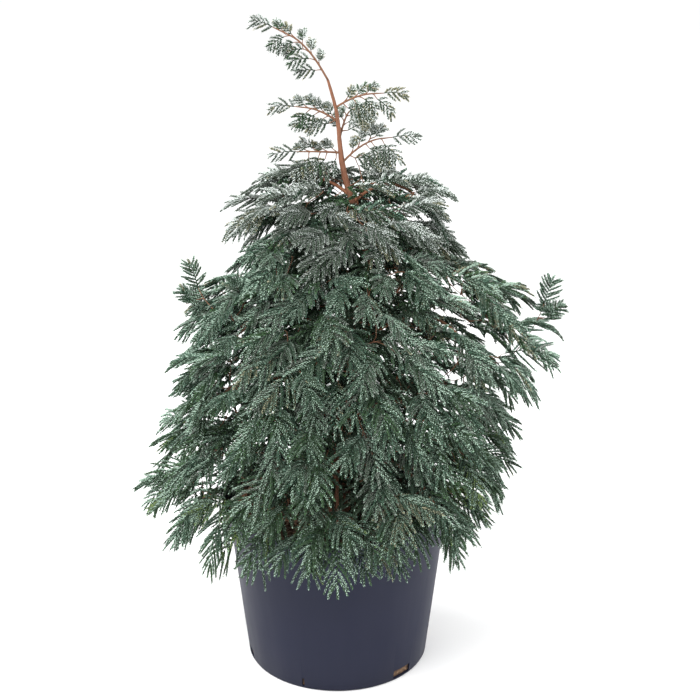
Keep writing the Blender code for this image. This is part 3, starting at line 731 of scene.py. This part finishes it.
class Crown:
    """Grows twigs and plumes, each from the nearest fork of the limbs and twigs before it."""

    def __init__(self, limbs):
        self.limbs = limbs
        self.plumes = []
        self.points, self.ways, self.radii, self.owners = [], [], [], []
        for number, limb in enumerate(limbs):
            for i in range(STEM_FORKS):
                self.add_fork(limb.stem, (i + FORK_OFFSET) / STEM_FORKS, TWIG_RADIUS, number)

    def add_fork(self, line, part, radius, owner):
        place = part * (len(line) - 1)
        low = int(place)
        self.points.append(tuple(line[low].lerp(line[low + 1], place - low)))
        self.ways.append(tuple((line[low + 1] - line[low]).normalized()))
        self.radii.append(radius)
        self.owners.append(owner)

    def nearest(self, neck, owner):
        """The fork that reaches a plume's neck by the shortest and straightest twig, or None."""
        offset = np.array(tuple(neck)) - np.array(self.points)
        length = np.linalg.norm(offset, axis=1)
        cosine = (offset * np.array(self.ways)).sum(axis=1) / np.maximum(length, 1e-9)
        fit = (cosine > SHARPEST_FORK) & (length < LONGEST_TWIG) & (length > SHORTEST_TWIG)
        if owner is not None:
            fit &= np.array(self.owners) == owner
        score = np.where(fit, length * (1 + TURN_COST - TURN_COST * cosine), np.inf)
        best = int(np.argmin(score))
        return best if np.isfinite(score[best]) else None

    def clear_of_pot(self, neck, tip):
        for i in range(POT_TESTS + 1):
            point = neck.lerp(tip, i / POT_TESTS)
            widest = pot_radius(point.z) + LIP_STEP + POT_MARGIN
            if point.z < POT_HEIGHT + POT_MARGIN and point.xy.length < widest:
                return False
        return True

    def grow(self, tip, direction, face, length, owner=None, bronze=0.0, old=False):
        """Adds a plume that ends at a tip, with its twig, unless no fork fits or the pot is near."""
        direction = direction.normalized()
        neck = tip - direction * length
        fork = self.nearest(neck, owner)
        if fork is None or not self.clear_of_pot(neck, tip):
            return
        start, way = Vector(self.points[fork]), Vector(self.ways[fork])
        gap = (neck - start).length
        owner = self.owners[fork]
        radius = self.radii[fork]
        end = min(TWIG_END, radius)
        twig, radii = [], []
        for i in range(TWIG_STEPS + 1):
            part = i / TWIG_STEPS
            twig.append(hermite(start, way * gap, neck, direction * gap, part))
            radii.append(radius + (end - radius) * part)
        for part in TWIG_FORKS:
            self.add_fork(twig, part, radius + (end - radius) * part, owner)
        kind = self.limbs[owner].kind
        self.plumes.append(Plume(kind, twig, radii, direction, face, length, bronze, old))


def hermite(start, leave, end, arrive, part):
    square, cube = part * part, part * part * part
    point = start * (2 * cube - 3 * square + 1) + leave * (cube - 2 * square + part) * TWIG_SWEEP
    return point + end * (3 * square - 2 * cube) + arrive * (cube - square) * TWIG_SWEEP


def plume_size(rung):
    return TOP_SHRINK + (1 - TOP_SHRINK) * rung / (len(CROWN) - 1)


def outline_spots(layer, chance):
    """Rungs and azimuths in a spiral of golden angles, as dense as the plumes' size asks."""
    span = layer.last - layer.first
    marks = [layer.first + span * i / OUTLINE_MARKS for i in range(OUTLINE_MARKS + 1)]
    areas = [0.0]
    for above, below in zip(marks, marks[1:]):
        area = 0.0
        for azimuth in (0.0, 90.0, 180.0, 270.0):
            high, low = on_outline(above, azimuth), on_outline(below, azimuth)
            area += (high - low).length * (high.xy.length + low.xy.length)
        areas.append(areas[-1] + area / plume_size(above) ** 2)
    spots = []
    for i in range(layer.count):
        rung = np.interp((i + chance.random()) / layer.count * areas[-1], areas, marks)
        azimuth = i * GOLDEN_ANGLE + chance.uniform(-AZIMUTH_STRAY, AZIMUTH_STRAY)
        spots.append((float(rung), azimuth))
    return spots


def grow_layer(crown, layer, plume_length, chance):
    spots = outline_spots(layer, chance)
    chance.shuffle(spots)
    for rung, azimuth in spots:
        outward, sideways = heading(azimuth), heading(azimuth + 90)
        tip = on_outline(rung, azimuth)
        tip -= outward * (tip.xy.length * (1 - layer.depth) + chance.uniform(0.0, DEPTH_JITTER))
        sag = chance.uniform(*PLUME_SAG) * min(TOP_SAG + (1 - TOP_SAG) * rung / FULL_SAG_RUNG, 1.0)
        direction = outward * PLUME_OUT + outline_normal(rung, azimuth) * PLUME_LIFT - UP * sag
        direction += sideways * chance.uniform(-PLUME_STRAY, PLUME_STRAY)
        face = UP + outward * FACE_OUT + sideways * chance.uniform(-FACE_STRAY, FACE_STRAY)
        length = plume_length * plume_size(rung) * chance.uniform(*PLUME_SIZES)
        turned = BRONZE_RUNGS[0] < rung < BRONZE_RUNGS[1] and outward.x > BRONZE_SIDE
        crown.grow(tip, direction, face, length, bronze=BRONZE_THERE if turned else 0.0, old=layer.old)


def grow_sprays(crown, chance):
    """Small plumes by turns on either side of the stems near the top, and one at each end."""
    sprays = (*SPRAYS, LEADER_SPRAY)
    for number, spray in enumerate(sprays, len(crown.limbs) - len(sprays)):
        stem = crown.limbs[number].stem
        way = (stem[-1] - stem[-2]).normalized()
        tip = stem[-1] + way * (END_TWIG + spray.plume)
        crown.grow(tip, way, SPRAY_FACE, spray.plume, number, spray.bronze)
        last = len(stem) - 1
        side = 1
        count = spray.twigs * 2
        for i in range(count):
            low = min(int((i + FIRST_TWIG) / (count + TWIGS_END) * last), last - 1)
            way = (stem[low + 1] - stem[low]).normalized()
            across = SPRAY_FACE.cross(way).normalized() * side
            size = (UPPER_SIDE if across.z > 0.0 else 1.0) * chance.uniform(*TWIG_SIZES)
            direction = way + across * chance.uniform(*TWIG_SPREADS) - UP * TWIG_SAG
            reach = (spray.twig * chance.uniform(*TWIG_LENGTHS) + spray.plume) * size
            tip = stem[low] + direction.normalized() * reach
            crown.grow(tip, direction, SPRAY_FACE, spray.plume * size, number, spray.bronze)
            side = -side


def grow_tips(crown, length):
    """A plume at the end of each bough's stem."""
    for number, limb in enumerate(crown.limbs):
        if limb.bough:
            way = (limb.stem[-1] - limb.stem[-2]).normalized()
            direction = (way - UP * TIP_SAG).normalized()
            tip = limb.stem[-1] + way * TIP_TWIG + direction * length
            crown.grow(tip, direction, UP + outward_of(tip) * FACE_OUT, length, number)


def grow_shoots(crown):
    """Shoots that stand out of the crown, with a plume at the top and one on either side."""
    for tip in SHOOT_TIPS:
        outward = outward_of(tip)
        crown.grow(tip, UP + outward * SHOOT_LEAN, SPRAY_FACE, SHOOT_LENGTH * SHOOT_TOP)
        for side in (-SHOOT_SPREAD, SHOOT_SPREAD):
            place = tip - UP * SHOOT_SIDE_DROP + outward * side * SHOOT_SIDE_REACH
            crown.grow(place, UP + outward * side, SPRAY_FACE, SHOOT_LENGTH * SHOOT_SIDE)


@functools.lru_cache(maxsize=1)
def grown_crown(plume_length):
    trunk, _ = smooth_line(TRUNK, 2)
    crown = Crown(bough_limbs(trunk) + spray_limbs(trunk))
    chance = random.Random(SEED)
    grow_sprays(crown, chance)
    grow_tips(crown, plume_length * TIP_PLUME)
    grow_shoots(crown)
    for layer in LAYERS:
        grow_layer(crown, layer, plume_length, chance)
    return crown


# Fingers and needles

Fingers = namedtuple("Fingers", "start way bend face length kind colour pale pale_share coarseness")


def plume_axis(plume, part):
    """A point and the direction on a plume's drooping axis."""
    rise = (plume.face.normalized() + UP) * plume.length * AXIS_RISE
    ahead = plume.way * plume.length * AXIS_REACH
    point = plume.twig[-1] + ahead * part + rise * (part - AXIS_NOD * part * part)
    return point, (ahead + rise * (1 - 2 * AXIS_NOD * part)).normalized()


def plume_fingers(plume, settings, chance):
    """Start, way, bend, face and length of each finger of a plume."""
    count = TOP_FINGERS if plume.kind == "top" else settings.fingers
    if plume.old:
        count = int(count / OLD_COARSENESS)
    face = plume.face.normalized()
    made = []
    side = chance.choice((-1, 1))
    for i in range(count):
        part = (i + FIRST_FINGER) / count
        point, way = plume_axis(plume, part)
        across = plume.face.cross(way).normalized() * side
        stray = chance.uniform(-SPREAD_STRAY, SPREAD_STRAY)
        spread = math.radians(WIDEST_SPREAD - SPREAD_LOSS * part + stray)
        swell = math.sqrt(max(1.0 - ((part - LONGEST_AT) / SHORTENING) ** 2, SHORTEST))
        length = settings.finger_share * plume.length * swell * chance.uniform(*FINGER_SIZES)
        direction = way * math.cos(spread) + across * math.sin(spread)
        direction += face * chance.uniform(*FINGER_LIFTS)
        bend = way * FINGER_SWEEP - UP * chance.uniform(*FINGER_SAGS)
        made.append((point, direction.normalized(), bend, face, length))
        side = -side
    point, way = plume_axis(plume, 1.0)
    length = settings.finger_share * plume.length * END_FINGER
    made.append((point, way, -UP * END_SAG, face, length))
    return made


def pick(shares, chance):
    """One name, drawn by its share."""
    spot = chance.random() * sum(shares.values())
    for name, share in shares.items():
        spot -= share
        if spot <= 0:
            break
    return name


def all_fingers(crown, settings):
    """Every finger of the crown, with the colours of its needles."""
    chance = random.Random(SEED + 1)
    made = []
    for plume in crown.plumes:
        # Inner plumes take the tint of painted shade
        tint = INNER_SHADE_TINT if plume.old else TINTS[plume.kind]
        main = pick(tint.shares, chance)
        pale_share = chance.uniform(*PALE_NEEDLES)
        coarseness = OLD_COARSENESS if plume.old else 1.0
        for shape in plume_fingers(plume, settings, chance):
            colour = main if chance.random() < MAIN_COLOUR else pick(tint.shares, chance)
            if chance.random() < plume.bronze:
                colour = "bronze"
            # Some fingers are lit and get the full painted highlight; the rest get little
            highlight_factor = 1.0 if chance.random() < tint.pale_share else UNLIT_FINGER
            made.append((*shape, plume.kind, colour, tint.pale, pale_share * highlight_factor, coarseness))
    return Fingers(*map(np.array, zip(*made)))


def finger_at(fingers, rows, part):
    """Points and directions on the curved axes of these fingers."""
    length = fingers.length[rows][:, None]
    part = part[:, None]
    point = fingers.start[rows] + (fingers.way[rows] * part + fingers.bend[rows] * part**2) * length
    return point, unit(fingers.way[rows] + 2 * fingers.bend[rows] * part)


def needle_arrays(fingers, settings, rng):
    """Four corners for each needle, which finger it is on, and how far round it points up."""
    spacing = settings.spacing * fingers.coarseness
    counts = np.maximum((fingers.length / spacing).astype(int), FEWEST_NEEDLES)
    rows = np.repeat(np.arange(len(counts)), counts)
    number = np.arange(len(rows)) - np.repeat(np.cumsum(counts) - counts, counts)
    part = (number + rng.random(len(rows))) / counts[rows]
    point, along = finger_at(fingers, rows, part)
    face = fingers.face[rows]
    up = unit(face - along * (face * along).sum(axis=1, keepdims=True))
    side = np.cross(along, up)
    turn = number * math.radians(GOLDEN_ANGLE) + rng.uniform(-NEEDLE_TURN, NEEDLE_TURN, len(rows))
    cosine, sine = np.cos(turn)[:, None], np.sin(turn)[:, None]
    out = up * cosine + side * sine
    flat = side * cosine - up * sine
    stray = rng.uniform(-LEAN_STRAY, LEAN_STRAY, len(rows))
    lean = np.radians(NEEDLE_LEAN - LEAN_LOSS * part**4 + stray)[:, None]
    way = along * np.cos(lean) + out * np.sin(lean)
    back = np.cross(flat, way)
    size = settings.needle_length * (1 - NEEDLE_SHRINK * part**4)
    length = (size * rng.uniform(*NEEDLE_SIZES, len(rows)))[:, None]
    width = settings.needle_width * 0.5 * fingers.coarseness[rows][:, None]
    middle = point + way * length * NEEDLE_BELLY + back * width * NEEDLE_BELLY
    corners = [point, middle + flat * width, point + way * length, middle - flat * width]
    return np.stack(corners, axis=1), rows, cosine[:, 0]


def needle_pieces(fingers, settings):
    """Joined needles for each part of the crown and colour."""
    rng = np.random.default_rng(SEED)
    corners, rows, facing = needle_arrays(fingers, settings, rng)
    colours = fingers.colour[rows].astype("U16")
    # Painted highlight: needles that face up take the pale colour far more often than those below
    share = fingers.pale_share[rows] * np.where(facing > PALE_FACING, 1.0, UNDER_PALE)
    pale = rng.random(len(rows)) < share
    colours[pale] = fingers.pale[rows][pale]
    kinds = fingers.kind[rows]
    for kind, colour in itertools.product(TINTS, COLOURS):
        chosen = corners[(kinds == kind) & (colours == colour)]
        for number, start in enumerate(range(0, len(chosen), MOST_NEEDLES), 1):
            yield kind, colour, number, chosen[start : start + MOST_NEEDLES]


# Operators


class CYPRESS_OT_make_pot(bpy.types.Operator):
    """Turns the nursery pot from a circle, and cuts the holes at its foot"""

    bl_idname = "cypress.make_pot"
    bl_label = "Make Pot"

    def execute(self, context):
        settings = context.scene.cypress_pot
        bpy.ops.object.select_all(action="DESELECT")
        foot, band = pot_radius(0.0) - FOOT_CHAMFER, POT_HEIGHT - LIP_BAND
        bpy.ops.mesh.primitive_circle_add(vertices=settings.sides, radius=foot, fill_type="NGON")
        pot = context.object
        bead, tilt = POT_HEIGHT - LIP_BEAD_HEIGHT, POT_FLARE * LIP_BEAD
        ease = FOOT_CHAMFER * FOOT_EASE
        # Distance outside the pot's cone, and height
        profile = (
            (-ease, ease),
            (0.0, FOOT_CHAMFER),
            *((0.0, high) for high in SIDE_RINGS),
            (0.0, band - LIP_SLOPE),
            (LIP_STEP * LIP_EASE, band - LIP_SLOPE * 0.5),
            (LIP_STEP, band),
            (LIP_STEP, bead),
            (LIP_STEP + LIP_BEAD - tilt, bead + LIP_BEAD),
            (LIP_STEP + LIP_BEAD + tilt, POT_HEIGHT - LIP_BEAD),
            (LIP_STEP, POT_HEIGHT),
            (LIP_STEP - POT_WALL, POT_HEIGHT),
            (LIP_STEP - POT_WALL, band + LIP_SLOPE),
            (-POT_WALL, band),
            (-POT_WALL, POT_FLOOR + POT_WALL),
            (-2 * POT_WALL, POT_FLOOR),
        )
        bpy.ops.object.mode_set(mode="EDIT")
        bpy.ops.mesh.select_all(action="SELECT")
        radius, height = foot, 0.0
        for outside, high in profile:
            wide = pot_radius(high) + outside
            step = {"value": (0.0, 0.0, high - height)}
            bpy.ops.mesh.extrude_region_move(TRANSFORM_OT_translate=step)
            share = wide / radius
            bpy.ops.transform.resize(value=(share, share, 1.0), center_override=(0.0, 0.0, 0.0))
            radius, height = wide, high
        bpy.ops.mesh.select_all(action="SELECT")
        bpy.ops.mesh.normals_make_consistent(inside=False)
        bpy.ops.object.mode_set(mode="OBJECT")
        for number in range(HOLE_COUNT):
            cut_hole(context, pot, number)
        pot.select_set(True)
        context.view_layer.objects.active = pot
        bpy.ops.object.shade_smooth_by_angle(angle=math.radians(SMOOTH_ANGLE))
        settle(pot, "nursery_pot", "pot", pot_plastic(tuple(settings.colour)), ["pot"])
        return {"FINISHED"}


def pot_radius(height):
    return POT_BASE_RADIUS + POT_FLARE * height


def cut_hole(context, pot, number):
    """A drainage hole with rounded corners. One keeps its web but for a slit."""
    turn = HOLE_TURN + 360.0 / HOLE_COUNT * number
    outward, along = heading(turn - 90.0), heading(turn)
    width = WEB_SLIT if number == WEB_HOLE else HOLE_WIDTH
    shift = (width - HOLE_WIDTH) / 2
    place = outward * POT_BASE_RADIUS + along * shift + UP * (HOLE_FOOT + HOLE_HEIGHT / 2)
    bpy.ops.mesh.primitive_cube_add(size=1.0, location=place, rotation=(0.0, 0.0, math.radians(turn)))
    cutter = context.object
    cutter.scale = (width, HOLE_CUTTER, HOLE_HEIGHT)
    bpy.ops.object.transform_apply(location=False, rotation=False, scale=True)
    bpy.ops.object.mode_set(mode="EDIT")
    bpy.ops.mesh.select_all(action="SELECT")
    bpy.ops.mesh.bevel(offset=min(HOLE_ROUNDING, width * MOST_ROUNDING), segments=3)
    bpy.ops.object.mode_set(mode="OBJECT")
    context.view_layer.objects.active = pot
    cut = pot.modifiers.new("Hole", "BOOLEAN")
    cut.operation = "DIFFERENCE"
    cut.object = cutter
    bpy.ops.object.modifier_apply(modifier=cut.name)
    bpy.data.objects.remove(cutter, do_unlink=True)


class CYPRESS_OT_fill_pot(bpy.types.Operator):
    """Finishes the growing medium, and strews bark chips and crumbs on it"""

    bl_idname = "cypress.fill_pot"
    bl_label = "Fill Pot"

    def execute(self, context):
        settings = context.scene.cypress_pot
        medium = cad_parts["soil"]
        medium.data.materials.clear()
        medium.data.materials.append(growing_medium())
        rng = np.random.default_rng(SEED)
        for name, count, size in (
            ("bark_chips", settings.chips, settings.chip_size),
            ("crumbs", settings.chips * CRUMBS, settings.chip_size * CRUMB_SIZE),
        ):
            batch = Batch()
            for _ in range(count):
                batch.add(*chip_arrays(size, rng))
            settle(batch.make(), name, "soil", chip_bark())
        return {"FINISHED"}


CHIP_CORNERS = np.array([(x, y, z) for x in (-1, 1) for y in (-1, 1) for z in (-1, 1)], float) / 2
CHIP_FACES = (
    (0, 1, 3), (0, 3, 2), (4, 6, 7), (4, 7, 5), (0, 4, 5), (0, 5, 1),
    (2, 3, 7), (2, 7, 6), (0, 2, 6), (0, 6, 4), (1, 5, 7), (1, 7, 3),
)


def chip_arrays(size, rng):
    """A rough chip that lies on the medium at a place of its own."""
    reach = pot_radius(SOIL_TOP) + LIP_STEP - POT_WALL - size
    radius = math.sqrt(rng.uniform((CHIPS_FROM / reach) ** 2, 1.0)) * reach
    turn = rng.uniform(0, 2 * math.pi)
    length = size * rng.uniform(*CHIP_LENGTHS)
    scale = length * np.array((1.0, rng.uniform(*CHIP_WIDTHS), rng.uniform(*CHIP_HEIGHTS)))
    corners = (CHIP_CORNERS + rng.uniform(-CHIP_ROUGHNESS, CHIP_ROUGHNESS, (8, 3))) * scale
    spin, tilt = rng.uniform(0, 2 * math.pi), rng.uniform(-CHIP_TILT, CHIP_TILT)
    turned = np.array(Matrix.Rotation(spin, 3, "Z") @ Matrix.Rotation(tilt, 3, "X"))
    place = np.array((radius * math.cos(turn), radius * math.sin(turn), SOIL_TOP + size * CHIP_LIFT))
    return corners @ turned.T + place, CHIP_FACES


class CYPRESS_OT_grow_wood(bpy.types.Operator):
    """Builds the trunk and boughs with the relief of their bark"""

    bl_idname = "cypress.grow_wood"
    bl_label = "Grow Wood"

    def execute(self, context):
        settings = context.scene.cypress_wood
        length = context.scene.cypress_needles.plume_length
        points, radii = smooth_line(TRUNK, TRUNK_STEPS)
        batch = Batch()
        batch.add(*tube_arrays(points, radii, settings.trunk_sides, settings.relief))
        bark = flaking_bark("trunk_bark", (0.070, 0.030, 0.018), (0.300, 0.120, 0.060))
        settle(batch.make(), "trunk_bark", "bark", bark, ["trunk"])
        batch = Batch()
        for limb in grown_crown(length).limbs:
            if limb.bough:
                taper = (1 - BOUGH_TAPER) / BOUGH_STEPS
                radii = [limb.radius * (1 - taper * i) for i in range(BOUGH_STEPS + 1)]
                relief = settings.relief * BOUGH_RELIEF
                batch.add(*tube_arrays(limb.bough, radii, settings.bough_sides, relief))
        bark = flaking_bark("bough_bark", (0.110, 0.042, 0.022), (0.400, 0.160, 0.075))
        settle(batch.make(), "bough_bark", "bark", bark, nodes_named("bough_"))
        return {"FINISHED"}


class CYPRESS_OT_grow_twigs(bpy.types.Operator):
    """Builds the stems and twigs, the plumes' axes and the fingers' cores"""

    bl_idname = "cypress.grow_twigs"
    bl_label = "Grow Twigs"

    def execute(self, context):
        settings = context.scene.cypress_needles
        crown = grown_crown(settings.plume_length)
        brown = Batch()
        for limb in crown.limbs:
            last = len(limb.stem) - 1
            radii = [STEM_RADIUS * (1 - (1 - STEM_TAPER) * i / last) for i in range(last + 1)]
            if limb.kind == "top":
                radii = [radius * TOP_STEM for radius in radii]
            brown.add(*tube_arrays(limb.stem, radii, STEM_SIDES))
        for plume in crown.plumes:
            brown.add(*tube_arrays(plume.twig, plume.radii, TWIG_SIDES))
        wood = flaking_bark("twig_bark", (0.070, 0.034, 0.020), (0.230, 0.100, 0.048))
        settle(brown.make(), "twigs", "bark", wood)
        stalk = needle_green("finger_core", COLOURS["deep_green"])
        fingers = all_fingers(crown, settings)
        steps = range(AXIS_STEPS + 1)
        radii = [TWIG_END * (AXIS_RADIUS - AXIS_TAPER * i) for i in steps]
        for slot, kinds in (("foliage_lower", LOWER_KINDS), ("foliage_upper", UPPER_KINDS)):
            cores = Batch()
            for plume in crown.plumes:
                if plume.kind in kinds:
                    axis = [plume_axis(plume, i / AXIS_STEPS)[0] for i in steps]
                    cores.add(*tube_arrays(axis, radii, CORE_SIDES))
            for row in np.flatnonzero(np.isin(fingers.kind, kinds)):
                line, _ = finger_at(fingers, np.full(len(CORE_PLACES), row), CORE_PLACES)
                cores.add(*tube_arrays(line, CORE_RADII, CORE_SIDES))
            settle(cores.make(), slot.replace("foliage", "cores"), slot, stalk)
        return {"FINISHED"}


class CYPRESS_OT_grow_needles(bpy.types.Operator):
    """Grows the needles on the fingers, joined by part of the crown and colour"""

    bl_idname = "cypress.grow_needles"
    bl_label = "Grow Needles"

    def execute(self, context):
        settings = context.scene.cypress_needles
        fingers = all_fingers(grown_crown(settings.plume_length), settings)
        materials = {}
        for kind, colour, number, corners in needle_pieces(fingers, settings):
            base = np.arange(len(corners))[:, None] * 4
            faces = np.concatenate([base + (0, 1, 2), base + (0, 2, 3)])
            name = f"needles_{kind}_{colour}_{number}"
            if colour not in materials:
                materials[colour] = needle_green(f"needle_{colour}", COLOURS[colour])
            piece = mesh_piece(corners.reshape(-1, 3), faces)
            slot = "foliage_lower" if kind in LOWER_KINDS else "foliage_upper"
            starts = (f"foliage_{kind}", "foliage_leader") if kind == "top" else (f"foliage_{kind}",)
            settle(piece, name, slot, materials[colour], nodes_named(*starts))
        return {"FINISHED"}


class CYPRESS_OT_set_stage(bpy.types.Operator):
    """Sets the pale floor, the soft studio light and the camera"""

    bl_idname = "cypress.set_stage"
    bl_label = "Set Stage"

    def execute(self, context):
        settings = context.scene.cypress_stage
        scene = context.scene
        bpy.ops.mesh.primitive_plane_add(size=FLOOR_SIZE, location=(0.0, 0.0, -FLOOR_DROP))
        floor = context.object
        floor.name = "floor"
        floor.data.materials.append(paper_floor(tuple(settings.floor)))
        world = bpy.data.worlds.new("studio")
        world.use_nodes = True
        sky = world.node_tree.nodes["Background"]
        sky.inputs["Color"].default_value = (1.0, 1.0, 1.0, 1.0)
        scene.world = world
        for lamp in LAMPS:
            add_lamp(lamp)
        camera = new_object("camera", bpy.data.cameras.new("camera"))
        camera.location = CAMERA_PLACE
        camera.rotation_euler = (math.pi / 2 - settings.pitch, 0.0, 0.0)
        camera.data.lens = settings.lens
        camera.data.sensor_width = SENSOR_WIDTH
        scene.camera = camera
        scene.view_settings.view_transform = "Standard"
        return {"FINISHED"}


def add_lamp(lamp):
    light = bpy.data.lights.new(lamp.name, "AREA")
    light.size = lamp.size
    light.energy = lamp.power
    holder = new_object(lamp.name, light)
    holder.location = lamp.place
    holder.rotation_euler = (LAMP_TARGET - lamp.place).to_track_quat("-Z", "Y").to_euler()


class CYPRESS_PT_looks(bpy.types.Panel):
    """Lists the steps that dress the cypress"""

    bl_label = "Potted Cypress"
    bl_idname = "CYPRESS_PT_looks"
    bl_space_type = "VIEW_3D"
    bl_region_type = "UI"
    bl_category = "Cypress"

    def draw(self, context):
        for step in STEPS:
            self.layout.operator(step.bl_idname)


GROUPS = (
    ("cypress_pot", CypressPotSettings),
    ("cypress_wood", CypressWoodSettings),
    ("cypress_needles", CypressNeedleSettings),
    ("cypress_stage", CypressStageSettings),
)
STEPS = (
    CYPRESS_OT_make_pot,
    CYPRESS_OT_fill_pot,
    CYPRESS_OT_grow_wood,
    CYPRESS_OT_grow_twigs,
    CYPRESS_OT_grow_needles,
    CYPRESS_OT_set_stage,
)


def register():
    for name, group in GROUPS:
        bpy.utils.register_class(group)
        setattr(bpy.types.Scene, name, bpy.props.PointerProperty(type=group))
    for step in STEPS:
        bpy.utils.register_class(step)
    bpy.utils.register_class(CYPRESS_PT_looks)


def unregister():
    bpy.utils.unregister_class(CYPRESS_PT_looks)
    for step in reversed(STEPS):
        bpy.utils.unregister_class(step)
    for name, group in reversed(GROUPS):
        delattr(bpy.types.Scene, name)
        bpy.utils.unregister_class(group)


def main():
    register()
    bpy.ops.cypress.make_pot()
    bpy.ops.cypress.fill_pot()
    bpy.ops.cypress.grow_wood()
    bpy.ops.cypress.grow_twigs()
    bpy.ops.cypress.grow_needles()
    bpy.ops.cypress.set_stage()
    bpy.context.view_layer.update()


if __name__ == "__main__":
    main()
